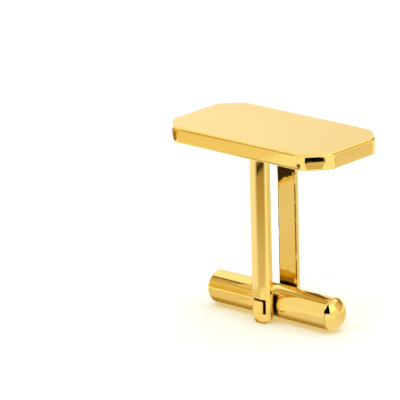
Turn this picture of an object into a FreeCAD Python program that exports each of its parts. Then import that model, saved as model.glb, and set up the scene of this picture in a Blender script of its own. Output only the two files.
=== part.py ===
import FreeCAD, Part
import os
import Sketcher

# Cufflink with a swivel bar: an oblong plate with cut corners on two arms, which hold a square pin.
# A round bar turns on the pin, and a spring clip inside the bar makes it click at each quarter turn.
# Millimetres. +Z is up, +X runs along the plate and the closed bar, and the origin lies on the floor
# under the middle of the bar. The cufflink stands on the ends of its arms, which reach past the bar.

SIZES = {
    # face plate
    "plate_length": 20.8,
    "plate_width": 11.0,
    "plate_thickness": 1.7,
    "corner_cut": 2.1,
    "corner_round": 1.3,
    "face_edge_round": 0.3,
    "back_edge_round": 0.2,
    # arms, from the back of the plate past the pin to the floor
    "shank_reach": 16.3,
    "foot_reach": 0.15,
    "arm_width": 2.35,
    "arm_edge_thickness": 0.5,
    "arm_crown": 0.3,
    "arm_end_round": 1.0,
    "arm_edge_ease": 0.08,
    "arm_side_clearance": 0.18,
    # tenons that let the arms into the plate
    "tenon_width": 1.6,
    "tenon_thickness": 0.4,
    "tenon_inset": 0.12,
    "tenon_depth": 0.9,
    "solder_gap": 0.02,
    # square pin and its holes
    "pin_side": 1.3,
    "pin_corner_round": 0.15,
    "pin_proud": 0.3,
    "pin_end_chamfer": 0.08,
    "pin_seat_gap": 0.05,
    "hole_rim_chamfer": 0.06,
    "swivel_clearance": 0.04,
    # turning bar
    "bar_diameter": 3.35,
    "barrel_length": 15.1,
    "seam_chamfer": 0.06,
    "dome_height": 1.0,
    "cap_rim_round": 0.06,
    "spigot_length": 1.2,
    "spigot_gap": 0.02,
    # spring clip
    "spring_thickness": 0.12,
    "spring_width": 1.25,
    "spring_grip_gap": 0.02,
    "spring_bore_clearance": 0.04,
    "spring_end_play": 0.1,
}

# Formulas that several pieces share
PIVOT_HEIGHT = "(sizes.bar_diameter / 2 + sizes.foot_reach)"
HALF_GAP = "(sizes.bar_diameter / 2 + sizes.arm_side_clearance)"
ARM_THICKNESS = "(sizes.arm_edge_thickness + sizes.arm_crown)"
HOLE_SIDE = "(sizes.pin_side + 2 * sizes.pin_seat_gap)"
PIN_ACROSS_CORNERS = "(sizes.pin_side * sqrt(2) - 2 * sizes.pin_corner_round * (sqrt(2) - 1))"
SPRING_HALF_GAP = "(sizes.pin_side / 2 + sizes.spring_grip_gap)"
# The bore leaves room for the clip's legs to spread over the corners of the pin
SPREAD_CLIP = f"({PIN_ACROSS_CORNERS} / 2 + sizes.spring_thickness)"
BORE_RADIUS = f"(sqrt((sizes.spring_width / 2) ^ 2 + {SPREAD_CLIP} ^ 2) + sizes.spring_bore_clearance)"

# Sketch references: the origin point, the horizontal axis and the vertical axis
ORIGIN = (-1, 1)
ACROSS = -1
UPRIGHT = -2
START, END, CENTRE = 1, 2, 3

NEAR = 1e-4  # two coordinates closer than this are the same
SLACK = 0.01  # a curved edge's box is up to this much too large

doc = FreeCAD.newDocument("cufflink")
sheet = doc.addObject("Spreadsheet::Sheet", "sizes")
for row, (name, value) in enumerate(SIZES.items(), start=1):
    sheet.set(f"A{row}", name)
    sheet.set(f"B{row}", str(value))
    sheet.setAlias(f"B{row}", name)
doc.recompute()


def size(name):
    return sheet.get(name)


def new_body(label, x="0", y="0", z="0", turn=0):
    """A piece whose own origin stands at the given formulas, turned about Z by turn degrees."""
    body = doc.addObject("PartDesign::Body", label)
    body.Label = label
    body.Placement.Rotation = FreeCAD.Rotation(FreeCAD.Vector(0, 0, 1), turn)
    for axis, formula in zip("xyz", (x, y, z)):
        body.setExpression(f"Placement.Base.{axis}", formula)
    return body


def own_plane(body, role):
    return next(f for f in body.Origin.OriginFeatures if f.Role == role)


def new_sketch(body, name, plane, lift="0"):
    """A sketch on one of the body's own planes, moved along the plane's normal by a formula."""
    sketch = body.newObject("Sketcher::SketchObject", name)
    sketch.AttachmentSupport = [(own_plane(body, plane), "")]
    sketch.MapMode = "FlatFace"
    sketch.setExpression("AttachmentOffset.Base.z", lift)
    return sketch


def draw_lines(sketch, points, closed=True):
    """Lines from point to point, joined end to end. Returns their numbers."""
    ends = points[1:] + points[:1] if closed else points[1:]
    lines = []
    for (x1, y1), (x2, y2) in zip(points, ends):
        segment = Part.LineSegment(FreeCAD.Vector(x1, y1, 0), FreeCAD.Vector(x2, y2, 0))
        lines.append(sketch.addGeometry(segment, False))
    for first, second in zip(lines, lines[1:]):
        join(sketch, first, END, second, START)
    if closed:
        join(sketch, lines[-1], END, lines[0], START)
    return lines


def draw_arc(sketch, first, middle, last):
    """An arc through three points. Its start is the first point that is met anticlockwise."""
    points = [FreeCAD.Vector(x, y, 0) for x, y in (first, middle, last)]
    return sketch.addGeometry(Part.Arc(*points), False)


def join(sketch, first, first_end, second, second_end):
    fix(sketch, "Coincident", first, first_end, second, second_end)


def fix(sketch, kind, *where):
    sketch.addConstraint(Sketcher.Constraint(kind, *where))


def measure(sketch, kind, name, formula, *where):
    """A dimension that starts at the drawn value and follows the formula."""
    if kind == "Radius":
        drawn = sketch.Geometry[where[0]].Radius
    else:
        step = sketch.getPoint(*where[2:]) - sketch.getPoint(*where[:2])
        drawn = step.x if kind == "DistanceX" else step.y
    number = sketch.addConstraint(Sketcher.Constraint(kind, *where, drawn))
    sketch.renameConstraint(number, name)
    sketch.setExpression(f"Constraints.{name}", formula)


def draw_rectangle(sketch, wide, high, low, formulas):
    """A rectangle centred on the upright axis: width, height and height of its lower side, with
    their three formulas. Without a third formula, it is centred on the origin."""
    half = wide / 2
    corners = [(-half, low), (half, low), (half, low + high), (-half, low + high)]
    bottom, right, top, left = draw_lines(sketch, corners)
    fix(sketch, "Horizontal", top)
    for side in (right, left):
        fix(sketch, "Vertical", side)
    measure(sketch, "DistanceX", "width", formulas[0], bottom, START, bottom, END)
    measure(sketch, "DistanceY", "height", formulas[1], right, START, right, END)
    if len(formulas) == 3:
        fix(sketch, "Symmetric", bottom, START, bottom, END, UPRIGHT)
        measure(sketch, "DistanceY", "lower_side", formulas[2], *ORIGIN, bottom, START)
    else:
        fix(sketch, "Horizontal", bottom)
        fix(sketch, "Symmetric", bottom, START, top, START, *ORIGIN)


def draw_circle(sketch, radius, name, formula):
    """A circle about the origin, first drawn at a rough radius."""
    outline = Part.Circle(FreeCAD.Vector(), FreeCAD.Vector(0, 0, 1), radius)
    circle = sketch.addGeometry(outline, False)
    join(sketch, circle, CENTRE, *ORIGIN)
    measure(sketch, "Radius", name, formula, circle)


def pad(body, name, sketch, length, symmetric=False):
    feature = body.newObject("PartDesign::Pad", name)
    feature.Profile = sketch
    feature.setExpression("Length", length)
    feature.SideType = "Symmetric" if symmetric else "One side"
    doc.recompute()
    return feature


def pocket(body, name, sketch, depth=None, reverse=False, symmetric=False):
    """A cut as deep as the formula, or right through. It has to take material away."""
    before = body.Shape.Volume
    feature = body.newObject("PartDesign::Pocket", name)
    feature.Profile = sketch
    feature.Reversed = reverse
    feature.SideType = "Symmetric" if symmetric else "One side"
    if depth:
        feature.setExpression("Length", depth)
    else:
        feature.Type = "ThroughAll"
    doc.recompute()
    if body.Shape.Volume > before - NEAR:
        raise RuntimeError(f"{body.Label}: {name} cuts nothing")
    return feature


def revolve(body, name, sketch):
    """A full turn about the sketch's horizontal axis."""
    feature = body.newObject("PartDesign::Revolution", name)
    feature.Profile = sketch
    feature.ReferenceAxis = (sketch, ["H_Axis"])
    feature.Angle = 360
    doc.recompute()
    return feature


def dress_edges(body, kind, name, formula, chosen):
    """A Fillet or Chamfer on the edges of the body so far for which chosen(edge) is true."""
    base = body.Tip
    names = [f"Edge{i}" for i, edge in enumerate(base.Shape.Edges, start=1) if chosen(edge)]
    feature = body.newObject(f"PartDesign::{kind}", name)
    feature.Base = (base, names)
    feature.setExpression("Radius" if kind == "Fillet" else "Size", formula)
    doc.recompute()
    return feature


def span(edge, axis):
    """Lowest and highest place of the edge on the axis 0, 1 or 2, in the body's own frame."""
    box = edge.BoundBox
    return ((box.XMin, box.XMax), (box.YMin, box.YMax), (box.ZMin, box.ZMax))[axis]


def lies_at(edge, axis, place):
    """Does the whole edge lie at this place on the axis?"""
    return all(abs(end - place) < SLACK for end in span(edge, axis))


def runs_along(edge, axis):
    """Is this a straight edge along the axis?"""
    first, last = edge.Vertexes[0].Point, edge.Vertexes[-1].Point
    others = [i for i in range(3) if i != axis]
    return abs(last[axis] - first[axis]) > NEAR and all(abs(last[i] - first[i]) < NEAR for i in others)


def make_face_plate():
    """Slab with cut corners. Its own origin is in the middle of its back."""
    body = new_body("face_plate", z=f"{PIVOT_HEIGHT} + sizes.shank_reach")
    wide, deep, thick = size("plate_length"), size("plate_width"), size("plate_thickness")
    outline = new_sketch(body, "plate_outline", "XY_Plane")
    draw_rectangle(outline, wide, deep, -deep / 2, ("sizes.plate_length", "sizes.plate_width"))
    pad(body, "plate_slab", outline, "sizes.plate_thickness")
    dress_edges(body, "Chamfer", "cut_corners", "sizes.corner_cut", lambda e: runs_along(e, 2))
    dress_edges(body, "Fillet", "soft_corners", "sizes.corner_round", lambda e: runs_along(e, 2))
    dress_edges(body, "Fillet", "face_edge", "sizes.face_edge_round", lambda e: lies_at(e, 2, thick))
    dress_edges(body, "Fillet", "back_edge", "sizes.back_edge_round", lambda e: lies_at(e, 2, 0))
    cut_mortises(body)
    return body


def cut_mortises(body):
    """Two blind pockets in the plate's back, each a solder gap larger than its tenon."""
    gap = size("solder_gap")
    half_gap = size("bar_diameter") / 2 + size("arm_side_clearance")
    sketch = new_sketch(body, "mortise_outline", "XY_Plane")
    draw_rectangle(
        sketch,
        size("tenon_width") + 2 * gap,
        size("tenon_thickness") + 2 * gap,
        half_gap + size("tenon_inset") - gap,
        (
            "sizes.tenon_width + 2 * sizes.solder_gap",
            "sizes.tenon_thickness + 2 * sizes.solder_gap",
            f"{HALF_GAP} + sizes.tenon_inset - sizes.solder_gap",
        ),
    )
    depth = "sizes.tenon_depth + sizes.solder_gap"
    rear = pocket(body, "rear_mortise", sketch, depth, reverse=True)
    both = body.newObject("PartDesign::Mirrored", "front_mortise")
    both.Originals = [rear]
    both.MirrorPlane = (own_plane(body, "XZ_Plane"), [""])
    body.Tip = both
    doc.recompute()


def make_arm(label, side):
    """Arm with a flat inside and a bowed outside. Its own origin is on its inside at the pin's height,
    with +Y outwards; side is 1 for the rear arm and -1 for the front one."""
    body = new_body(label, y=f"{side} * {HALF_GAP}", z=PIVOT_HEIGHT, turn=0 if side > 0 else 180)
    section = new_sketch(body, f"{label}_section", "XY_Plane", lift=f"-{PIVOT_HEIGHT}")
    draw_arm_section(section)
    pad(body, f"{label}_strip", section, f"{PIVOT_HEIGHT} + sizes.shank_reach")
    foot, top = -size("bar_diameter") / 2 - size("foot_reach"), size("shank_reach")
    dress_edges(
        body,
        "Fillet",
        f"{label}_round_end",
        "min(sizes.arm_end_round; sizes.arm_width / 2 - 2 * sizes.arm_edge_ease)",
        lambda e: runs_along(e, 1) and lies_at(e, 2, foot),
    )
    dress_edges(
        body,
        "Fillet",
        f"{label}_eased_edges",
        "sizes.arm_edge_ease",
        lambda e: not lies_at(e, 2, top) and not runs_along(e, 1),
    )
    cut_pin_hole(body, label)
    add_tenon(body, label)
    return body


def draw_arm_section(section):
    """Flat inside on the horizontal axis, two upright edges and a bow between them."""
    half, edge, crown = size("arm_width") / 2, size("arm_edge_thickness"), size("arm_crown")
    corners = [(-half, edge), (-half, 0), (half, 0), (half, edge)]
    left, inside, right = draw_lines(section, corners, closed=False)
    bow = draw_arc(section, (half, edge), (0, edge + crown), (-half, edge))
    join(section, right, END, bow, START)
    join(section, bow, END, left, START)
    for line in (left, right):
        fix(section, "Vertical", line)
    fix(section, "Equal", left, right)
    fix(section, "Symmetric", inside, START, inside, END, *ORIGIN)
    fix(section, "Horizontal", inside)
    measure(section, "DistanceX", "width", "sizes.arm_width", inside, START, inside, END)
    measure(section, "DistanceY", "edge", "sizes.arm_edge_thickness", right, START, right, END)
    bow_radius = "((sizes.arm_width / 2) ^ 2 + sizes.arm_crown ^ 2) / (2 * sizes.arm_crown)"
    measure(section, "Radius", "bow", bow_radius, bow)


def cut_pin_hole(body, label):
    """Square hole with a chamfered rim on the bowed side."""
    side = size("pin_side") + 2 * size("pin_seat_gap")
    hole = new_sketch(body, f"{label}_pin_hole", "XZ_Plane")
    draw_rectangle(hole, side, side, -side / 2, (HOLE_SIDE, HOLE_SIDE))
    pocket(body, f"{label}_square_hole", hole)
    reach = side / 2 + SLACK

    def on_outer_rim(edge):
        inside_hole = all(max(abs(end) for end in span(edge, axis)) < reach for axis in (0, 2))
        return inside_hole and span(edge, 1)[0] > size("arm_edge_thickness")

    dress_edges(body, "Chamfer", f"{label}_hole_rim", "sizes.hole_rim_chamfer", on_outer_rim)


def add_tenon(body, label):
    tenon = new_sketch(body, f"{label}_tenon_outline", "XY_Plane", lift="sizes.shank_reach")
    draw_rectangle(
        tenon,
        size("tenon_width"),
        size("tenon_thickness"),
        size("tenon_inset"),
        ("sizes.tenon_width", "sizes.tenon_thickness", "sizes.tenon_inset"),
    )
    pad(body, f"{label}_tenon", tenon, "sizes.tenon_depth")


def make_pivot_pin():
    """Square pin through both arms and the bar. Its own origin is in its middle."""
    body = new_body("pivot_pin", z=PIVOT_HEIGHT)
    side = size("pin_side")
    section = new_sketch(body, "pin_section", "XZ_Plane")
    draw_rectangle(section, side, side, -side / 2, ("sizes.pin_side", "sizes.pin_side"))
    length = f"2 * ({HALF_GAP} + {ARM_THICKNESS} + sizes.pin_proud)"
    pin = pad(body, "pin_bar", section, length, symmetric=True)
    dress_edges(body, "Fillet", "pin_corners", "sizes.pin_corner_round", lambda e: runs_along(e, 1))
    end = pin.Length.Value / 2
    dress_edges(
        body,
        "Chamfer",
        "pin_ends",
        "sizes.pin_end_chamfer",
        lambda e: lies_at(e, 1, end) or lies_at(e, 1, -end),
    )
    return body


def make_toggle_barrel():
    """Tube of the turning bar, with a round cross hole in which the pin's corners turn."""
    body = new_body("toggle_barrel", z=PIVOT_HEIGHT)
    outside, end = size("bar_diameter") / 2, size("barrel_length") / 2
    ring = new_sketch(body, "barrel_ring", "YZ_Plane")
    draw_circle(ring, outside, "outside", "sizes.bar_diameter / 2")
    draw_circle(ring, size("pin_side"), "bore", BORE_RADIUS)
    pad(body, "barrel_tube", ring, "sizes.barrel_length", symmetric=True)
    dress_edges(
        body,
        "Chamfer",
        "barrel_rims",
        "sizes.seam_chamfer",
        lambda e: (lies_at(e, 0, end) or lies_at(e, 0, -end)) and e.Curve.Radius > outside - NEAR,
    )
    hole = new_sketch(body, "barrel_cross_hole", "XZ_Plane")
    hole_radius = f"{PIN_ACROSS_CORNERS} / 2 + sizes.swivel_clearance"
    draw_circle(hole, size("pin_side") / 2, "cross_hole", hole_radius)
    pocket(body, "cross_hole", hole, symmetric=True)
    return body


def make_end_cap(label, side):
    """Shallow domed end of the bar on a spigot. Its own origin is in the middle of the seam, with +X
    outwards; side is 1 for the right cap and -1 for the left one."""
    seam = f"{side} * sizes.barrel_length / 2"
    body = new_body(label, x=seam, z=PIVOT_HEIGHT, turn=0 if side > 0 else 180)
    rim, dome, inner = size("bar_diameter") / 2, size("dome_height"), -size("spigot_length")
    rough_spigot = rim / 2
    profile = new_sketch(body, f"{label}_profile", "XZ_Plane")
    outline = [(dome, 0), (inner, 0), (inner, rough_spigot), (0, rough_spigot), (0, rim)]
    axis, inner_end, wall, seat = draw_lines(profile, outline, closed=False)
    sphere = (rim**2 + dome**2) / (2 * dome)
    middle = (dome - sphere + (sphere**2 - rim**2 / 4) ** 0.5, rim / 2)
    arc = draw_arc(profile, (dome, 0), middle, (0, rim))
    join(profile, arc, START, axis, START)
    join(profile, arc, END, seat, END)
    fix(profile, "PointOnObject", axis, START, ACROSS)
    fix(profile, "PointOnObject", axis, END, ACROSS)
    fix(profile, "PointOnObject", seat, START, UPRIGHT)
    fix(profile, "PointOnObject", arc, CENTRE, ACROSS)
    fix(profile, "Vertical", inner_end)
    fix(profile, "Horizontal", wall)
    fix(profile, "Vertical", seat)
    measure(profile, "DistanceX", "dome", "sizes.dome_height", *ORIGIN, axis, START)
    measure(profile, "DistanceX", "spigot_length", "sizes.spigot_length", axis, END, *ORIGIN)
    measure(profile, "DistanceY", "spigot_radius", f"{BORE_RADIUS} - sizes.spigot_gap", *ORIGIN, seat, START)
    measure(profile, "DistanceY", "rim_radius", "sizes.bar_diameter / 2", *ORIGIN, seat, END)
    revolve(body, f"{label}_turned", profile)
    dress_edges(
        body,
        "Fillet",
        f"{label}_soft_rim",
        "sizes.cap_rim_round",
        lambda e: lies_at(e, 0, 0) and e.Curve.Radius > rim - NEAR,
    )
    return body


def make_spring_clip():
    """Strip bent into a long U. Its legs lie on the pin's flats, and it fills the length of the tube
    between the caps' spigots."""
    body = new_body("spring_clip", z=PIVOT_HEIGHT)
    inner = size("pin_side") / 2 + size("spring_grip_gap")
    outer = inner + size("spring_thickness")
    reach = size("barrel_length") / 2 - size("spigot_length") - size("spring_end_play")
    bend = reach - outer
    profile = new_sketch(body, "clip_profile", "XZ_Plane")
    upper = [(bend, outer), (-reach, outer), (-reach, inner), (bend, inner)]
    lower = [(x, -z) for x, z in reversed(upper)]
    upper_back, upper_tip, upper_grip = draw_lines(profile, upper, closed=False)
    lower_grip, lower_tip, lower_back = draw_lines(profile, lower, closed=False)
    inner_bend = draw_arc(profile, (bend, -inner), (bend + inner, 0), (bend, inner))
    outer_bend = draw_arc(profile, (bend, -outer), (reach, 0), (bend, outer))
    fix(profile, "Tangent", inner_bend, START, lower_grip, START)
    fix(profile, "Tangent", inner_bend, END, upper_grip, END)
    fix(profile, "Tangent", outer_bend, START, lower_back, END)
    fix(profile, "Tangent", outer_bend, END, upper_back, START)
    join(profile, inner_bend, CENTRE, outer_bend, CENTRE)
    fix(profile, "PointOnObject", inner_bend, CENTRE, ACROSS)
    for leg in (upper_back, upper_grip, lower_grip):
        fix(profile, "Horizontal", leg)
    for tip in (upper_tip, lower_tip):
        fix(profile, "Vertical", tip)
    fix(profile, "Symmetric", upper_tip, START, lower_tip, END, ACROSS)
    measure(profile, "Radius", "grip", SPRING_HALF_GAP, inner_bend)
    measure(profile, "Radius", "back", f"{SPRING_HALF_GAP} + sizes.spring_thickness", outer_bend)
    reach_formula = "sizes.barrel_length / 2 - sizes.spigot_length - sizes.spring_end_play"
    measure(profile, "DistanceX", "tips", reach_formula, upper_tip, START, *ORIGIN)
    bend_formula = f"{reach_formula} - {SPRING_HALF_GAP} - sizes.spring_thickness"
    measure(profile, "DistanceX", "bend", bend_formula, *ORIGIN, inner_bend, CENTRE)
    pad(body, "clip_strip", profile, "sizes.spring_width", symmetric=True)
    return body


def check(bodies):
    """Stops if any object failed or any piece isn't one valid solid."""
    doc.recompute()
    failed = [o.Name for o in doc.Objects if "Invalid" in o.State or "Error" in o.State]
    if failed:
        raise RuntimeError(f"failed objects: {failed}")
    for body in bodies:
        shape = body.Shape
        if shape.isNull() or not shape.isValid() or len(shape.Solids) != 1:
            raise RuntimeError(f"{body.Label} isn't one valid solid")


def write(bodies):
    os.makedirs("parts", exist_ok=True)
    for body in bodies:
        body.Shape.exportStep(f"parts/{body.Label}.step")
        box = body.Shape.optimalBoundingBox()
        extent = f"{box.XLength:.2f} x {box.YLength:.2f} x {box.ZLength:.2f} mm"
        print(f"{body.Label}: {body.Shape.Volume:.3f} mm3, {extent}, lowest {box.ZMin:.3f}")


pieces = [
    make_face_plate(),
    make_arm("front_arm", -1),
    make_arm("rear_arm", 1),
    make_pivot_pin(),
    make_toggle_barrel(),
    make_end_cap("left_end_cap", -1),
    make_end_cap("right_end_cap", 1),
    make_spring_clip(),
]
check(pieces)
write(pieces)
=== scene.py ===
import math

import bmesh
import bpy
from mathutils import Matrix, Vector


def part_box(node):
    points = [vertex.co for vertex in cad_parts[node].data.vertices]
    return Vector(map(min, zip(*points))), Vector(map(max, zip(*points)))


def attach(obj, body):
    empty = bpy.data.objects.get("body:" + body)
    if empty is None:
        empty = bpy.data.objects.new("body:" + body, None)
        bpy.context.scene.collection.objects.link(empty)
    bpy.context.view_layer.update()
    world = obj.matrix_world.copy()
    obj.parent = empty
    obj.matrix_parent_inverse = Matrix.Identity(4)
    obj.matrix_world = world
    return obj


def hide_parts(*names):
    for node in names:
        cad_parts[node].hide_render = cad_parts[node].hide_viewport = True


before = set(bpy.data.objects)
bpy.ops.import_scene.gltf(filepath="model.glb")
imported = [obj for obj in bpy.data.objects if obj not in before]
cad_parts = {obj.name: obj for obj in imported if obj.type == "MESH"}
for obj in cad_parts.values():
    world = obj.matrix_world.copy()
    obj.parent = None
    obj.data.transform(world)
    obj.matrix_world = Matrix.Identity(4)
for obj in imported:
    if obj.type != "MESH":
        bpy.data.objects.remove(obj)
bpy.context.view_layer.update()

# Pieces are modelled in millimetres and brought to metres when they are finished
MM = 0.001
NEAR = 1e-3  # places that lie closer than this count as one
X, Y, Z = 0, 1, 2

# Sizes that the boxes of the solids don't give, in millimetres
CORNER_CUT = 2.1
CORNER_ROUND = 1.3
FACE_EDGE_ROUND = 0.3
BACK_EDGE_ROUND = 0.2
ARM_EDGE_THICKNESS = 0.5
ARM_END_ROUND = 1.0
ARM_EDGE_EASE = 0.08
PIN_CORNER_ROUND = 0.15
PIN_END_ROUND = 0.08
PIN_SEAT_GAP = 0.05
HOLE_RIM_CHAMFER = 0.06
SWIVEL_CLEARANCE = 0.04
BORE_RADIUS = 1.2
SEAM_CHAMFER = 0.06
CAP_RIM_ROUND = 0.06
SPIGOT_LENGTH = 1.2
SPIGOT_RADIUS = 1.18

# How finely curves are divided
BIG_ROUND = 12
MIDDLE_ROUND = 8
SMALL_ROUND = 4
TINY_ROUND = 3
FLAT_CUT = 1
BOW_COLUMNS = 28
BAR_SIDES = 128
HOLE_SIDES = 64
DOME_RINGS = 96
SCREEN_SIDES = 96

# Shading
HOLD = 0.04  # width of the rim that keeps the shading of a flat face flat
BROAD = 1  # area in square millimetres above which a face gets that rim
RING_SPREAD = 1.2  # place of the rings beside the cross hole, in radii of the hole
SMOOTH_BELOW = math.radians(30)

# Directions of a rod
ALONG_X = (0, math.pi / 2, 0)
ALONG_Y = (math.pi / 2, 0, 0)

# Colours
GOLD_PALE = (0.95, 0.665, 0.19)
GOLD_DEEP = (0.935, 0.64, 0.17)
# Black of the painted shade in the pin's seat, the seam of the right cap and the crevices beside the arms
PAINTED_SHADE = (0.012, 0.007, 0.002)
# Darker brown for patches along the side edges of the arms' insides
EDGE_BROWN = (0.3, 0.15, 0.03)
STEEL_PALE = (0.56, 0.57, 0.59)
STEEL_DEEP = (0.46, 0.46, 0.48)

# Finishes: least and most roughness, depth of the fine lines in metres, and how closely these lines vary
# along X, Y and Z, per metre
GOLD_GLOSS = (0.04, 0.09)
GOLD_RELIEF = 0.000002
LINES_ALONG_X = (900, 30000, 30000)
LINES_ALONG_Z = (30000, 30000, 900)
STEEL_GLOSS = (0.2, 0.34)
STEEL_RELIEF = 0.000006
ROLLING_LINES = (600, 20000, 20000)
CLOUD_SCALE = 240.0
HAZE_SCALE = 900.0
NOISE_LOW, NOISE_HIGH = 0.3, 0.7
RELIEF_STRENGTH = 0.04

# Studio, in millimetres but for the floor
STAGE_MIDDLE = Vector((0, 0, 10))
FLOOR_SIZE = 4  # metres
FLOOR_COLOUR = (0.5, 0.74, 0.98)
FLOOR_LIFT = (0.56, 0.37, 0.12)
FLOOR_CARD_HEIGHT = 0.1
OVERHEAD_START, OVERHEAD_FULL = 0.55, 0.8  # height of the sky's lit part, 1 at its top
OVERHEAD_LIGHT = 1.9
WHITE = (1.0, 1.0, 1.0)
COOL = (0.9, 0.94, 1.0)
ORANGE = (0.79, 0.6, 0.16)
OLIVE = (0.7, 0.61, 0.4)
BLACK = (0.0, 0.0, 0.0)


def box_of(node):
    """Lowest and highest corner of a solid, in millimetres."""
    low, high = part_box(node)
    return low / MM, high / MM


PLATE_LOW, PLATE_HIGH = box_of("face_plate")
ARM_LOW, ARM_HIGH = box_of("front_arm")
PIN_LOW, PIN_HIGH = box_of("pivot_pin")
BARREL_LOW, BARREL_HIGH = box_of("toggle_barrel")
BAR_RADIUS = (BARREL_HIGH.z - BARREL_LOW.z) / 2
SEAM = BARREL_HIGH.x
PIVOT = (BARREL_LOW + BARREL_HIGH) / 2


# Modelling helpers

def deselect_all():
    bpy.ops.object.select_all(action="DESELECT")


def select_only(piece):
    deselect_all()
    piece.select_set(True)
    bpy.context.view_layer.objects.active = piece


def enter_edit():
    bpy.ops.object.mode_set(mode="EDIT")


def leave_edit():
    bpy.ops.object.mode_set(mode="OBJECT")


def apply_place():
    bpy.ops.object.transform_apply(location=True, rotation=True, scale=True)


def name_new(name):
    """Names the object that was just added, with its place and size in its mesh."""
    piece = bpy.context.object
    piece.name = name
    apply_place()
    return piece


def add_block(name, low, high):
    """A block between two corners, open in edit mode."""
    deselect_all()
    bpy.ops.mesh.primitive_cube_add(size=1, location=(low + high) / 2)
    bpy.context.object.scale = high - low
    block = name_new(name)
    enter_edit()
    return block


def add_rod(name, radius, length, turn, sides):
    """A rod through the pivot."""
    deselect_all()
    bpy.ops.mesh.primitive_cylinder_add(
        vertices=sides, radius=radius, depth=length, location=PIVOT, rotation=turn
    )
    return name_new(name)


def pick(kind, chosen):
    """In edit mode, selects the edges or faces for which chosen is true."""
    bpy.ops.mesh.select_mode(type=kind)
    bpy.ops.mesh.select_all(action="DESELECT")
    mesh = bmesh.from_edit_mesh(bpy.context.object.data)
    for element in mesh.edges if kind == "EDGE" else mesh.faces:
        if chosen(element):
            element.select_set(True)
    mesh.select_flush_mode()
    bmesh.update_edit_mesh(bpy.context.object.data)


def runs_along(edge, axis):
    """Is this edge parallel to the axis?"""
    step = edge.verts[1].co - edge.verts[0].co
    return abs(step[axis]) > NEAR and all(abs(step[i]) < NEAR for i in (X, Y, Z) if i != axis)


def lies_at(element, axis, place):
    """Do all corners of this edge or face lie at this place on the axis?"""
    return all(abs(vert.co[axis] - place) < NEAR for vert in element.verts)


def round_edges(chosen, radius, segments):
    pick("EDGE", chosen)
    bpy.ops.mesh.bevel(offset=radius, segments=segments, affect="EDGES", clamp_overlap=False)


def hold_faces(chosen):
    """A narrow rim inside each chosen face keeps the rest of the face flat in its shading."""
    pick("FACE", chosen)
    bpy.ops.mesh.inset(thickness=HOLD, use_individual=True)


def is_broad(face):
    return face.calc_area() > BROAD


def cut_at(axis, place):
    """Cuts the whole piece by the plane across the axis."""
    bpy.ops.mesh.select_all(action="SELECT")
    point, across = Vector((0, 0, 0)), Vector((0, 0, 0))
    point[axis], across[axis] = place, 1
    bpy.ops.mesh.bisect(plane_co=point, plane_no=across)


def copy_turned(piece, name):
    """A copy with its own mesh, half a turn round the upright middle line of the cufflink."""
    select_only(piece)
    bpy.ops.object.duplicate(linked=False)
    bpy.context.object.rotation_euler.z = math.pi
    return name_new(name)


def finish_piece(piece, node, body, material):
    """Brings a piece to metres and puts it in the place of its solid."""
    select_only(piece)
    piece.scale = (MM, MM, MM)
    apply_place()
    bpy.ops.object.shade_smooth_by_angle(angle=SMOOTH_BELOW)
    piece.data.materials.clear()
    piece.data.materials.append(material)
    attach(piece, body)
    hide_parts(node)


# Pieces

def model_plate(material):
    """Oblong slab with cut, softly rounded corners."""
    plate = add_block("polished_face_plate", PLATE_LOW, PLATE_HIGH)
    round_edges(lambda e: runs_along(e, Z), CORNER_CUT, FLAT_CUT)
    # Each cut leaves two corners of 45 degrees, whose rounds start this far from them
    tangent = CORNER_ROUND * math.tan(math.radians(45 / 2))
    round_edges(lambda e: runs_along(e, Z), tangent, MIDDLE_ROUND)
    round_edges(lambda e: lies_at(e, Z, PLATE_HIGH.z), FACE_EDGE_ROUND, MIDDLE_ROUND)
    round_edges(lambda e: lies_at(e, Z, PLATE_LOW.z), BACK_EDGE_ROUND, MIDDLE_ROUND)
    hold_faces(is_broad)
    leave_edit()
    finish_piece(plate, "face_plate", "face_and_shank", material)


def model_arms(material):
    """The front arm is a strip with a flat inside, a bowed outside and a round end, with a square hole
    for the pin. The rear arm is the same arm, turned round."""
    half, inside, foot = ARM_HIGH.x, ARM_HIGH.y, ARM_LOW.z
    edge = inside - ARM_EDGE_THICKNESS
    crown = edge - ARM_LOW.y
    hole = PIN_HIGH.x + PIN_SEAT_GAP
    square_on = 0.99  # least part of a normal along Y on a face across the arm

    def on_rim(e):
        return (lies_at(e, Y, inside) or lies_at(e, Y, edge)) and not lies_at(e, Z, PLATE_LOW.z)

    def reach_from_pivot(vert):
        return max(abs(vert.co.x), abs(vert.co.z - PIVOT.z))

    def over_hole(f):
        return abs(f.normal.y) > square_on and all(reach_from_pivot(v) < hole + NEAR for v in f.verts)

    def on_hole_rim(e):
        return lies_at(e, Y, edge) and all(abs(reach_from_pivot(v) - hole) < NEAR for v in e.verts)

    arm = add_block("front_bowed_arm", Vector((-half, edge, foot)), Vector((half, inside, PLATE_LOW.z)))
    round_edges(lambda e: runs_along(e, Y) and lies_at(e, Z, foot), ARM_END_ROUND, BIG_ROUND)
    round_edges(on_rim, ARM_EDGE_EASE, SMALL_ROUND)
    hold_faces(lambda f: lies_at(f, Y, inside) or lies_at(f, Y, edge))
    for i in range(1, BOW_COLUMNS):
        cut_at(X, half * (2 * i / BOW_COLUMNS - 1))
    for place in (-hole, hole):
        cut_at(X, place)
        cut_at(Z, PIVOT.z + place)
    pick("FACE", over_hole)
    bpy.ops.mesh.bridge_edge_loops()
    round_edges(on_hole_rim, HOLE_RIM_CHAMFER, FLAT_CUT)
    leave_edit()
    # Bow the outside, highest along the middle of the strip
    for vert in arm.data.vertices:
        share = (inside - vert.co.y) / ARM_EDGE_THICKNESS
        vert.co.y -= share * crown * (1 - (vert.co.x / half) ** 2)
    rear = copy_turned(arm, "rear_bowed_arm")
    finish_piece(arm, "front_arm", "face_and_shank", material)
    finish_piece(rear, "rear_arm", "face_and_shank", material)


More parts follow.
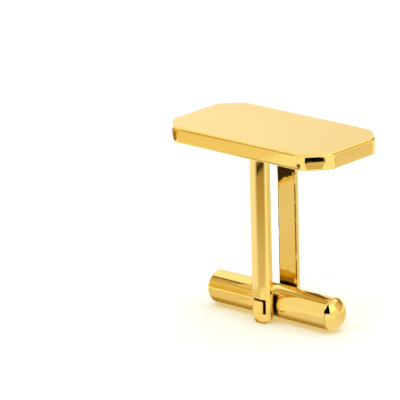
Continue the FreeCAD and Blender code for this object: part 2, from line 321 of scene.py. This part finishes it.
def model_pin(material):
    """Square pin with soft corners and soft ends."""
    def at_end(e):
        return lies_at(e, Y, PIN_LOW.y) or lies_at(e, Y, PIN_HIGH.y)

    pin = add_block("square_pivot_pin", PIN_LOW, PIN_HIGH)
    round_edges(lambda e: runs_along(e, Y), PIN_CORNER_ROUND, SMALL_ROUND)
    round_edges(at_end, PIN_END_ROUND, TINY_ROUND)
    hold_faces(is_broad)
    leave_edit()
    finish_piece(pin, "pivot_pin", "face_and_shank", material)


def is_end_disc(face):
    """Has this face more corners than the four of a face on a side?"""
    return len(face.verts) > 4


def model_barrel(material):
    """Tube with chamfered rims and a cross hole for the pin."""
    pin_corner = PIN_HIGH.x * math.sqrt(2) - PIN_CORNER_ROUND * (math.sqrt(2) - 1)
    drill_radius = pin_corner + SWIVEL_CLEARANCE
    drill_length = 4 * BAR_RADIUS
    ring = RING_SPREAD * drill_radius

    def at_end(element):
        return lies_at(element, X, SEAM) or lies_at(element, X, -SEAM)

    def on_outer_rim(e):
        return at_end(e) and all((v.co - PIVOT).yz.length > BAR_RADIUS - NEAR for v in e.verts)

    drill = add_rod("drill", drill_radius, drill_length, ALONG_Y, HOLE_SIDES)
    barrel = add_rod("swivel_barrel", BAR_RADIUS, 2 * SEAM, ALONG_X, BAR_SIDES)
    enter_edit()
    pick("FACE", at_end)
    bpy.ops.mesh.inset(thickness=BAR_RADIUS - BORE_RADIUS, use_individual=True)
    pick("FACE", lambda f: at_end(f) and is_end_disc(f))
    bpy.ops.mesh.bridge_edge_loops()
    round_edges(on_outer_rim, SEAM_CHAMFER, FLAT_CUT)
    # Rings beside the cross hole keep its shading near it
    for place in (-ring, ring):
        cut_at(X, place)
    leave_edit()
    cross_hole = barrel.modifiers.new("cross_hole", "BOOLEAN")
    cross_hole.operation = "DIFFERENCE"
    cross_hole.object = drill
    cross_hole.solver = "EXACT"
    bpy.ops.object.modifier_apply(modifier=cross_hole.name)
    bpy.data.objects.remove(drill)
    # Clear the slivers that the cut leaves on the rim of the hole
    enter_edit()
    bpy.ops.mesh.select_all(action="SELECT")
    bpy.ops.mesh.remove_doubles(threshold=NEAR)
    bpy.ops.mesh.dissolve_degenerate(threshold=NEAR)
    leave_edit()
    finish_piece(barrel, "toggle_barrel", "swivel_bar", material)


def model_caps(material):
    """The right cap is a shallow dome with a soft rim, on a spigot. The left one is the same, turned."""
    tip = box_of("right_end_cap")[1].x
    height = tip - SEAM
    sphere = (BAR_RADIUS**2 + height**2) / (2 * height)
    deselect_all()
    bpy.ops.mesh.primitive_uv_sphere_add(
        segments=BAR_SIDES, ring_count=DOME_RINGS, radius=sphere,
        location=PIVOT + Vector((tip - sphere, 0, 0)), rotation=ALONG_X,
    )
    cap = name_new("right_domed_cap")
    enter_edit()
    bpy.ops.mesh.select_all(action="SELECT")
    bpy.ops.mesh.bisect(plane_co=(SEAM, 0, 0), plane_no=(1, 0, 0), use_fill=True, clear_inner=True)
    round_edges(lambda e: lies_at(e, X, SEAM), CAP_RIM_ROUND, SMALL_ROUND)
    pick("FACE", lambda f: lies_at(f, X, SEAM) and is_end_disc(f))
    bpy.ops.mesh.inset(thickness=BAR_RADIUS - SPIGOT_RADIUS)
    bpy.ops.mesh.extrude_region_move(TRANSFORM_OT_translate={"value": (-SPIGOT_LENGTH, 0, 0)})
    leave_edit()
    left = copy_turned(cap, "left_domed_cap")
    finish_piece(cap, "right_end_cap", "swivel_bar", material)
    finish_piece(left, "left_end_cap", "swivel_bar", material)


# Material helpers

def add_node(material, kind, **settings):
    node = material.node_tree.nodes.new(kind)
    for name, value in settings.items():
        setattr(node, name, value)
    return node


def wire(material, source, target):
    material.node_tree.links.new(source, target)


def shader_of(material):
    return material.node_tree.nodes["Principled BSDF"]


def reckon(material, operation, *values):
    """The result of a sum on the outputs of other nodes and on plain numbers."""
    step = add_node(material, "ShaderNodeMath", operation=operation)
    for socket, value in zip(step.inputs, values):
        if isinstance(value, bpy.types.NodeSocket):
            wire(material, value, socket)
        else:
            socket.default_value = value
    return step.outputs["Value"]


def times(material, first, *others):
    """All the values multiplied."""
    product = first
    for other in others:
        product = reckon(material, "MULTIPLY", product, other)
    return product


def size_of(material, value):
    """The value without its sign."""
    return reckon(material, "ABSOLUTE", value)


def rise(material, value, start, stop, low=0.0, high=1.0, kind="LINEAR"):
    """Goes from low to high as the value goes from start to stop."""
    step = add_node(material, "ShaderNodeMapRange", interpolation_type=kind)
    step.inputs["From Min"].default_value = start
    step.inputs["From Max"].default_value = stop
    step.inputs["To Min"].default_value = low
    step.inputs["To Max"].default_value = high
    wire(material, value, step.inputs["Value"])
    return step.outputs["Result"]


def soft_edge(material, value, outside, inside):
    """Rises softly from 0 to 1 as the value goes from outside to inside."""
    return rise(material, value, outside, inside, kind="SMOOTHSTEP")


def add_ramp(material, value, *stops):
    """A colour ramp over the value, with its stops as places and their colours."""
    node = add_node(material, "ShaderNodeValToRGB")
    elements = node.color_ramp.elements
    while len(elements) < len(stops):
        elements.new(1.0)
    for element, (place, colour) in zip(elements, stops):
        element.position = place
        element.color = (*colour, 1.0)
    wire(material, value, node.inputs["Fac"])
    return node.outputs["Color"]


def add_noise(material, vector, scale, detail):
    noise = add_node(material, "ShaderNodeTexNoise")
    noise.inputs["Scale"].default_value = scale
    noise.inputs["Detail"].default_value = detail
    wire(material, vector, noise.inputs["Vector"])
    return noise.outputs["Fac"]


def split(material, vector):
    """X, Y and Z of a vector."""
    parts = add_node(material, "ShaderNodeSeparateXYZ")
    wire(material, vector, parts.inputs["Vector"])
    return parts.outputs


def place_on(material):
    """X, Y and Z of a place on the object, in metres."""
    return split(material, add_node(material, "ShaderNodeTexCoord").outputs["Object"])


def facing_on(material):
    """X, Y and Z of the direction that the surface faces."""
    return split(material, add_node(material, "ShaderNodeTexCoord").outputs["Normal"])


# Materials

def add_metal(name, pale, deep, gloss, lines, relief_depth):
    """Bare metal that varies a little in colour and gloss, with fine lines from its working."""
    material = bpy.data.materials.new(name)
    material.use_nodes = True
    shader = shader_of(material)
    shader.inputs["Metallic"].default_value = 1.0
    place = add_node(material, "ShaderNodeTexCoord").outputs["Object"]

    cloud = add_noise(material, place, CLOUD_SCALE, detail=3.0)
    tone = add_ramp(material, cloud, (NOISE_LOW, deep), (NOISE_HIGH, pale))
    wire(material, tone, shader.inputs["Base Color"])

    haze = add_noise(material, place, HAZE_SCALE, detail=4.0)
    wire(material, rise(material, haze, NOISE_LOW, NOISE_HIGH, *gloss), shader.inputs["Roughness"])

    drawn_out = add_node(material, "ShaderNodeMapping")
    drawn_out.inputs["Scale"].default_value = lines
    wire(material, place, drawn_out.inputs["Vector"])
    hairlines = add_noise(material, drawn_out.outputs["Vector"], 1.0, detail=2.0)
    relief = add_node(material, "ShaderNodeBump")
    relief.inputs["Strength"].default_value = RELIEF_STRENGTH
    relief.inputs["Distance"].default_value = relief_depth
    wire(material, hairlines, relief.inputs["Height"])
    wire(material, relief.outputs["Normal"], shader.inputs["Normal"])
    return material


def paint_over(material, mask, colour=PAINTED_SHADE):
    """Paints a colour over the metal where the mask is 1, the black of painted shade if no colour is given.
    """
    base = shader_of(material).inputs["Base Color"]
    metal = base.links[0].from_socket
    cover = add_node(material, "ShaderNodeMix", data_type="RGBA")
    cover.inputs["B"].default_value = (*colour, 1.0)
    wire(material, mask, cover.inputs["Factor"])
    wire(material, metal, cover.inputs["A"])
    wire(material, cover.outputs["Result"], base)


def polished_gold(name, lines):
    """Yellow gold plate off the polishing wheel, with hairlines that run along the wheel's path."""
    return add_metal(name, GOLD_PALE, GOLD_DEEP, GOLD_GLOSS, lines, GOLD_RELIEF)


def arm_gold():
    """Gold whose polish is uneven on the insides of the arms, which turn darker brown in patches along their
    side edges.
    """
    inside_start, inside_full = -0.3, -0.9
    edge_brown_width, edge_brown_full = 0.2, 0.08
    wave_scale, patch_start, patch_full = 900.0, 0.3, 0.5
    swell_depth = 0.045

    material = polished_gold("arm_gold", LINES_ALONG_Z)
    whole_place = add_node(material, "ShaderNodeTexCoord").outputs["Object"]
    place = split(material, whole_place)
    # An inside faces the middle of the cufflink, so its direction and its place differ in sign
    towards = times(material, facing_on(material)["Y"], place["Y"])
    inside = soft_edge(material, towards, inside_start * MM, inside_full * MM)
    edge = soft_edge(
        material, size_of(material, place["X"]),
        (ARM_HIGH.x - edge_brown_width) * MM, (ARM_HIGH.x - edge_brown_full) * MM,
    )
    waves = add_noise(material, whole_place, wave_scale, detail=2.0)
    patchy = soft_edge(material, waves, patch_start, patch_full)
    # Darker brown in patches along the side edges of the insides
    paint_over(material, times(material, inside, edge, patchy), EDGE_BROWN)

    surface = shader_of(material).inputs["Normal"]
    swell = add_node(material, "ShaderNodeBump")
    swell.inputs["Distance"].default_value = swell_depth * MM
    wire(material, times(material, inside, waves), swell.inputs["Height"])
    wire(material, surface.links[0].from_socket, swell.inputs["Normal"])
    wire(material, swell.outputs["Normal"], surface)
    return material


def pin_gold():
    """Gold with painted shade on the sides of the pin, in its seat and just beyond it."""
    end_facing, side_facing = 0.6, 0.3
    shade_rise, shade_fade = 0.18, 0.02
    shade_end = -ARM_LOW.y + shade_rise

    material = polished_gold("pin_gold", LINES_ALONG_Z)
    facing = size_of(material, facing_on(material)["Y"])
    reach = size_of(material, place_on(material)["Y"])
    on_side = soft_edge(material, facing, end_facing, side_facing)
    in_seat = soft_edge(material, reach, (shade_end + shade_fade) * MM, shade_end * MM)
    # Painted shade: black on the sides of the pin, where it sits in the hole of the arm
    paint_over(material, times(material, on_side, in_seat))
    return material


def bar_gold():
    """Gold with painted shade in the seam of the right end cap and in the crevices beside the arms."""
    seam_start, seam_full, seam_fade, seam_end = -0.004, 0.004, 0.05, 0.07
    crevice_end, crevice_full = 1.6, 1.3
    flank_start, flank_full = 1.1, 1.35

    material = polished_gold("bar_gold", LINES_ALONG_X)
    place = place_on(material)
    past_seam = soft_edge(material, place["X"], (SEAM + seam_start) * MM, (SEAM + seam_full) * MM)
    near_seam = soft_edge(material, place["X"], (SEAM + seam_end) * MM, (SEAM + seam_fade) * MM)
    # Painted shade: a thin black band in the seam of the right end cap
    paint_over(material, times(material, past_seam, near_seam))
    near_arm = soft_edge(material, size_of(material, place["X"]), crevice_end * MM, crevice_full * MM)
    on_flank = soft_edge(material, size_of(material, place["Y"]), flank_start * MM, flank_full * MM)
    # Painted shade: black on the bar in the crevices beside the arms
    paint_over(material, times(material, near_arm, on_flank))
    return material


def spring_steel():
    """Bright rolled strip with rolling lines along its length."""
    return add_metal("spring_steel", STEEL_PALE, STEEL_DEEP, STEEL_GLOSS, ROLLING_LINES, STEEL_RELIEF)


# Camera

def add_camera():
    """Long lens at the photograph's angle, with the pivot at its place in the picture."""
    azimuth, elevation, roll = math.radians(41.8), math.radians(17.4), math.radians(-1.55)
    distance = 0.44
    pixels_per_metre = 9960.0
    picture = 400
    pivot_x, pivot_y = 276.5, 299.6
    back = Vector(
        (
            math.sin(azimuth) * math.cos(elevation),
            -math.cos(azimuth) * math.cos(elevation),
            math.sin(elevation),
        )
    )
    level = Vector((math.cos(azimuth), math.sin(azimuth), 0))
    upright = back.cross(level)
    right = level * math.cos(roll) + upright * math.sin(roll)
    up = upright * math.cos(roll) - level * math.sin(roll)
    aside = (pivot_x - picture / 2) / pixels_per_metre
    below = (pivot_y - picture / 2) / pixels_per_metre
    data = bpy.data.cameras.new("camera")
    data.sensor_width = 36
    data.lens = data.sensor_width * pixels_per_metre * distance / picture
    data.clip_start = 0.01
    data.clip_end = 20
    camera = bpy.data.objects.new("camera", data)
    bpy.context.scene.collection.objects.link(camera)
    place = PIVOT * MM - right * aside + up * below + back * distance
    camera.matrix_world = Matrix(
        (
            (right.x, up.x, back.x, place.x),
            (right.y, up.y, back.y, place.y),
            (right.z, up.z, back.z, place.z),
            (0, 0, 0, 1),
        )
    )
    bpy.context.scene.camera = camera


# Stage

def add_floor():
    """White sheet. A lift where it is seen or mirrored makes it white and warms the object's shadow."""
    deselect_all()
    bpy.ops.mesh.primitive_plane_add(size=FLOOR_SIZE)
    floor = bpy.context.object
    floor.name = "white_floor"
    material = bpy.data.materials.new("white_floor")
    material.use_nodes = True
    shader = shader_of(material)
    shader.inputs["Base Color"].default_value = (*FLOOR_COLOUR, 1)
    shader.inputs["Roughness"].default_value = 1.0
    shader.inputs["Specular IOR Level"].default_value = 0.0
    shader.inputs["Emission Color"].default_value = (*FLOOR_LIFT, 1)
    ray = add_node(material, "ShaderNodeLightPath").outputs
    seen = reckon(material, "MAXIMUM", ray["Is Camera Ray"], ray["Is Glossy Ray"])
    seen = reckon(material, "MAXIMUM", seen, ray["Is Transmission Ray"])
    wire(material, seen, shader.inputs["Emission Strength"])
    floor.data.materials.append(material)


def light_world():
    """White room. The floor is lit from overhead, which keeps the shadow close to the object."""
    world = bpy.data.worlds.new("white_room")
    bpy.context.scene.world = world
    world.use_nodes = True
    background = world.node_tree.nodes["Background"]
    background.inputs["Color"].default_value = (*WHITE, 1.0)
    height = split(world, add_node(world, "ShaderNodeTexCoord").outputs["Generated"])["Z"]
    overhead = rise(world, height, OVERHEAD_START, OVERHEAD_FULL, 0.0, OVERHEAD_LIGHT)
    ray = add_node(world, "ShaderNodeLightPath").outputs
    strength = add_node(world, "ShaderNodeMix", data_type="FLOAT")
    strength.inputs["A"].default_value = 1.0
    wire(world, ray["Is Diffuse Ray"], strength.inputs["Factor"])
    wire(world, overhead, strength.inputs["B"])
    wire(world, strength.outputs["Result"], background.inputs["Strength"])


# Studio cards. Their places and sizes are in millimetres.

def make_card(card, light, strength=1.0):
    """Turns an object into a studio card that only reflections show."""
    material = bpy.data.materials.new(card.name)
    material.use_nodes = True
    nodes = material.node_tree.nodes
    nodes.remove(shader_of(material))
    glow = add_node(material, "ShaderNodeEmission")
    glow.inputs["Color"].default_value = (*light, 1.0)
    glow.inputs["Strength"].default_value = strength
    wire(material, glow.outputs["Emission"], nodes["Material Output"].inputs["Surface"])
    card.data.materials.append(material)
    card.visible_camera = False
    card.visible_diffuse = False
    card.visible_shadow = False
    return material, glow


def clear_where(material, mask):
    """Lets rays pass through a card where the mask is 1."""
    surface = material.node_tree.nodes["Material Output"].inputs["Surface"]
    blend = add_node(material, "ShaderNodeMixShader")
    share, solid, clear = blend.inputs
    wire(material, mask, share)
    wire(material, surface.links[0].from_socket, solid)
    wire(material, add_node(material, "ShaderNodeBsdfTransparent").outputs["BSDF"], clear)
    wire(material, blend.outputs["Shader"], surface)


def shade_card(card, axis, start, stop, *stops):
    """Colours a card by a ramp along an axis, from one place to another."""
    material, glow = card
    along = rise(material, place_on(material)[axis], start * MM, stop * MM)
    wire(material, add_ramp(material, along, *stops), glow.inputs["Color"])


def face_card(name, azimuth, elevation, distance, width, height, light, strength):
    """A flat card that faces the object. Azimuth and elevation as for a camera."""
    across, above = math.radians(azimuth), math.radians(elevation)
    flat = math.cos(above)
    out = Vector((math.sin(across) * flat, -math.cos(across) * flat, math.sin(above)))
    deselect_all()
    bpy.ops.mesh.primitive_plane_add(
        size=1, location=(STAGE_MIDDLE + out * distance) * MM, rotation=(math.pi / 2 - above, 0, across)
    )
    card = bpy.context.object
    card.name = name
    card.scale = (width * MM, height * MM, 1)
    bpy.ops.object.transform_apply(location=False, rotation=False, scale=True)
    return make_card(card, light, strength)


def corner_card(name, corners, light=WHITE):
    """A card between four corners, given as low left, low right, high left and high right from the side
    that shows. It is clear from its other side."""
    deselect_all()
    bpy.ops.mesh.primitive_plane_add(size=1)
    card = bpy.context.object
    card.name = name
    for vert, corner in zip(card.data.vertices, corners):
        vert.co = Vector(corner) * MM
    material, glow = make_card(card, light)
    clear_where(material, add_node(material, "ShaderNodeNewGeometry").outputs["Backfacing"])
    return material, glow


def level_card(name, height, x0, x1, y0, y1, light=WHITE):
    """A level card that shows its upper side."""
    return corner_card(name, [(x, y, height) for y in (y0, y1) for x in (x0, x1)], light)


def hood_card(name, height, x0, x1, y0, y1, light=WHITE):
    """A level card that shows its underside."""
    return corner_card(name, [(x, y, height) for x in (x0, x1) for y in (y0, y1)], light)


def floor_card(name, *sides_and_light):
    """A card just above the floor, shown upwards."""
    return level_card(name, FLOOR_CARD_HEIGHT, *sides_and_light)


def low_curved_card(name, start, stop, light):
    """An upright curved card round the object, from one azimuth to another."""
    radius, height = 76, 15
    deselect_all()
    middle = Vector((0, 0, height / 2)) * MM
    bpy.ops.mesh.primitive_cylinder_add(
        vertices=SCREEN_SIDES, radius=radius * MM, depth=height * MM, end_fill_type="NOTHING",
        location=middle,
    )
    card = name_new(name)
    enter_edit()
    for turn, side in ((start, -1), (stop, 1)):
        bpy.ops.mesh.select_all(action="SELECT")
        angle = math.radians(turn)
        cut = (side * math.cos(angle), side * math.sin(angle), 0)
        bpy.ops.mesh.bisect(plane_co=middle, plane_no=cut, clear_outer=True)
    leave_edit()
    make_card(card, light)


def add_far_cards():
    """Softboxes, a lamp and grey cards round the object, and low screens in front of it on the left."""
    for card in (
        # name, azimuth, elevation, distance, width, height, light, strength
        ("left_softbox", -115, 45, 200, 190, 90, COOL, 1.3),
        ("right_softbox", 77, 38, 150, 105, 118, COOL, 1.6),
        ("right_lamp", 84, 31, 140, 14, 16, WHITE, 3.0),
        ("back_softbox", 180, 48, 200, 150, 90, WHITE, 1.3),
        ("right_back_grey", 135, 24, 160, 104, 116, (0.77, 0.66, 0.42), 1.0),
        ("back_grey", 171, 20, 155, 100, 72, (0.42, 0.33, 0.17), 1.0),
    ):
        face_card(*card)
    low_curved_card("low_screen", -38.5, 0, WHITE)
    low_curved_card("low_glow", -100, -38.5, ORANGE)


def add_back_screen():
    """Bright screen behind the left end of the plate, for its face. It fades a little to the right."""
    shade_card(
        face_card("back_screen", -139, 17, 90, 70, 38, WHITE, 1.1), "X", -12, 12,
        (0.0, (0.9, 0.885, 0.82)), (1.0, (0.96, 0.99, 1.0)),
    )


def add_arm_sheet():
    """Low sheet in front of the arms, for their faces: bright on the left, grey in front and darker further
    out, with a black far corner."""
    height, strength = 2.6, 1.35
    arm_face = -2.7
    full_reach = 50
    bright = (0.77, 0.81, 0.98, 1.0)
    material, glow = level_card("arm_sheet", height, -70, 70, -70, 40)

    # Azimuth and reach as seen from the foot of the front arm
    centre = add_node(material, "ShaderNodeMapping")
    centre.inputs["Location"].default_value = (0, -arm_face * MM, -height * MM)
    wire(material, add_node(material, "ShaderNodeTexCoord").outputs["Object"], centre.inputs["Vector"])
    place = split(material, centre.outputs["Vector"])
    azimuth = reckon(material, "ARCTAN2", place["X"], reckon(material, "MULTIPLY", place["Y"], -1.0))
    length = add_node(material, "ShaderNodeVectorMath", operation="LENGTH")
    wire(material, centre.outputs["Vector"], length.inputs[0])
    reach = length.outputs["Value"]

    def by_azimuth(outside, inside):
        """A soft edge between two azimuths in degrees."""
        return soft_edge(material, azimuth, math.radians(outside), math.radians(inside))

    def by_reach(outside, inside, slope=0.0):
        """A soft edge between two reaches, slanting by so many millimetres for each radian."""
        slanted = reckon(material, "MULTIPLY_ADD", azimuth, slope * MM, reach)
        return soft_edge(material, slanted, outside * MM, inside * MM)

    grey = add_ramp(
        material, rise(material, reach, 0, full_reach * MM),
        (0.1, (0.56, 0.52, 0.47)), (0.3, (0.53, 0.47, 0.36)),
        (0.5, (0.45, 0.38, 0.23)), (0.835, (0.35, 0.27, 0.13)),
    )
    tone = add_node(material, "ShaderNodeMix", data_type="RGBA")
    tone.inputs["A"].default_value = bright
    wire(material, by_azimuth(-57, -36), tone.inputs["Factor"])
    wire(material, grey, tone.inputs["B"])
    wire(material, tone.outputs["Result"], glow.inputs["Color"])

    dark = times(material, by_reach(44.9, 45.2, -4.6), by_reach(52.6, 52.2, -9.3), by_azimuth(-40, -37))
    wire(material, reckon(material, "MULTIPLY_ADD", dark, -strength, strength), glow.inputs["Strength"])

    # Clear outside its sector, beyond its far edge and close to the arm's foot
    within = reckon(material, "MAXIMUM", by_reach(49, 48.4), dark)
    shown = times(material, by_azimuth(-115, -95), by_azimuth(8, -2), within, by_reach(2, 5))
    clear_where(material, reckon(material, "SUBTRACT", 1.0, shown))


def add_hoods():
    """Warm cards that show their undersides to the bar and the arms. The one just under the plate is painted
    shade, a dim sheet for the plate's shaded underside.
    """
    shade_card(
        corner_card("bar_hood", ((-2, -1.7, 7), (-40.6, -46.3, 7), (-40, -1.2, 7), (-80, -40, 7))),
        "Y", -1.7, -30,
        (0.0, (0.22, 0.14, 0.05)), (0.025, (0.34, 0.24, 0.1)), (0.05, (0.62, 0.5, 0.28)),
        (0.12, (0.68, 0.57, 0.35)), (0.2, (0.86, 0.75, 0.48)), (0.36, (0.8, 0.64, 0.26)), (0.8, ORANGE),
    )
    shade_card(
        hood_card("arm_hood", 4.2, -3.3, -0.72, -2.3, 4.3), "Y", -2.3, 4.3,
        (0.0, (0.69, 0.58, 0.12)), (0.36, (0.69, 0.58, 0.12)), (0.44, (0.55, 0.42, 0.1)),
        (0.51, (0.24, 0.19, 0.1)), (0.58, (0.36, 0.28, 0.08)), (0.66, (0.08, 0.05, 0.02)),
    )
    # Painted shade: a dim sheet just under the plate stands for its shaded underside, as the bar mirrors it
    hood_card("plate_underside_shade", 17.95, -11.2, 9.8, -5, 5, (0.6, 0.49, 0.25))


def add_floor_cards():
    """Tinted cards on the floor, for the walls of the plate, the underside of the bar and the foot of the
    front arm. Those round the bar and the foot are painted shadow: darker sheets where the floor lies in
    the object's shadow, as the metal mirrors it."""
    for card in (
        # name, from and to along X, from and to along Y, light
        ("front_wall_card", -52, -36, -60, -46, (0.95, 0.87, 0.65)),
        ("wall_end_card", -62, -52, -60, -46, ORANGE),
        # Painted shadow: the two cards under the bar are dimmer where the floor round the bar is in shade
        ("left_bar_shadow_card", -14, -4.6, -13, -2.2, (0.86, 0.81, 0.72)),
        ("right_bar_shadow_card", 1.2, 7.3, -6, -2.2, (0.88, 0.84, 0.82)),
    ):
        floor_card(*card)
    shade_card(
        floor_card("side_card", 7.4, 43, -2, 42), "Y", -2, 3,
        (0.0, WHITE), (1.0, (0.9, 0.86, 0.82)),
    )
    shade_card(
        floor_card("right_wall_card", 44, 64, 36, 60), "X", 50, 54,
        (0.1, (0.88, 0.84, 0.83)), (0.5, (0.85, 0.78, 0.66)),
        (0.7, (0.74, 0.64, 0.42)), (1.0, (0.62, 0.51, 0.27)),
    )
    # Painted shadow: dark ramps under the bar and the foot of the front arm, for their contact shadows as
    # the metal mirrors them
    shade_card(
        floor_card("bar_contact_shadow", -9.5, 7.3, -2.2, -0.3), "Y", -2.2, -0.3,
        (0.0, (0.86, 0.8, 0.66)), (0.2, (0.7, 0.6, 0.36)), (0.5, (0.45, 0.3, 0.1)), (1.0, (0.4, 0.25, 0.06)),
    )
    shade_card(
        floor_card("foot_contact_shadow", -1.4, 1, -3.2, -2.4), "Y", -3.2, -2.4,
        (0.0, (0.9, 0.85, 0.75)), (0.3, (0.7, 0.6, 0.36)),
        (0.5, (0.48, 0.36, 0.15)), (0.7, (0.12, 0.07, 0.02)),
    )


def add_small_cards():
    """Small cards near the object, each for the reflection in one facet or edge."""
    corner_card(
        "corner_flag", ((13.8, -7, 17.55), (10.6, -9.6, 17.55), (13.4, -7.3, 18.7), (11, -9.3, 18.7)), BLACK
    )
    shade_card(
        corner_card(
            "corner_grey", ((13.3, -7.4, 16.5), (11.8, -8.6, 16.5), (13.8, -7, 17.55), (10.6, -9.6, 17.55))
        ),
        "Z", 16.5, 17.55,
        (0.0, (0.52, 0.42, 0.22)), (0.5, OLIVE), (1.0, (0.78, 0.69, 0.48)),
    )
    corner_card("dome_flag", ((12, -4, 3.1), (8.6, -6.4, 3.1), (12, -4, 14), (8.6, -6.4, 14)), BLACK)
    corner_card(
        "rear_arm_flag", ((-1.7, -1.5, 13.5), (-4.3, -1.5, 12.2), (-1.7, -1.5, 14.4), (-4.3, -1.5, 14.4)),
        (0.04, 0.026, 0.01),
    )
    corner_card(
        "rear_arm_glow", ((-1.7, -1.5, 12.9), (-4.3, -1.5, 11.6), (-1.7, -1.5, 13.5), (-4.3, -1.5, 12.2)),
        ORANGE,
    )
    shade_card(
        corner_card(
            "rear_arm_card",
            ((-1.6, -1.5, 3.05), (-4.4, -1.5, 3.05), (-1.6, -1.5, 12.9), (-4.4, -1.5, 11.55)),
        ),
        "Z", 3.05, 12,
        (0.0, (0.84, 0.73, 0.43)), (0.08, (0.85, 0.78, 0.62)), (0.35, (0.85, 0.79, 0.68)),
        (0.55, (0.875, 0.83, 0.8)), (1.0, (0.86, 0.8, 0.68)),
    )
    corner_card(
        "edge_card", ((-22.6, -23, 28.7), (-6.6, -23, 28.7), (-10.6, -8.6, 19.04), (5.4, -8.6, 19.04)),
        (0.6, 0.44, 0.12),
    )
    corner_card(
        "streak_card", ((1.3, 2.3, 5), (1.3, 5.3, 5), (1.3, 2.3, 10), (1.3, 5.3, 10)), (0.2, 0.13, 0.04)
    )
    level_card("tip_card", 16, -21, -14.5, -10, 3, (0.42, 0.26, 0.05))


def add_studio():
    add_floor()
    light_world()
    add_far_cards()
    add_back_screen()
    add_arm_sheet()
    add_hoods()
    add_floor_cards()
    add_small_cards()


face_gold = polished_gold("face_gold", LINES_ALONG_X)
swivel_gold = bar_gold()
model_plate(face_gold)
model_arms(arm_gold())
model_pin(pin_gold())
model_barrel(swivel_gold)
model_caps(swivel_gold)
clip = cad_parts["spring_clip"]
clip.data.materials.clear()
clip.data.materials.append(spring_steel())
add_studio()
add_camera()
bpy.context.scene.view_settings.view_transform = "Standard"
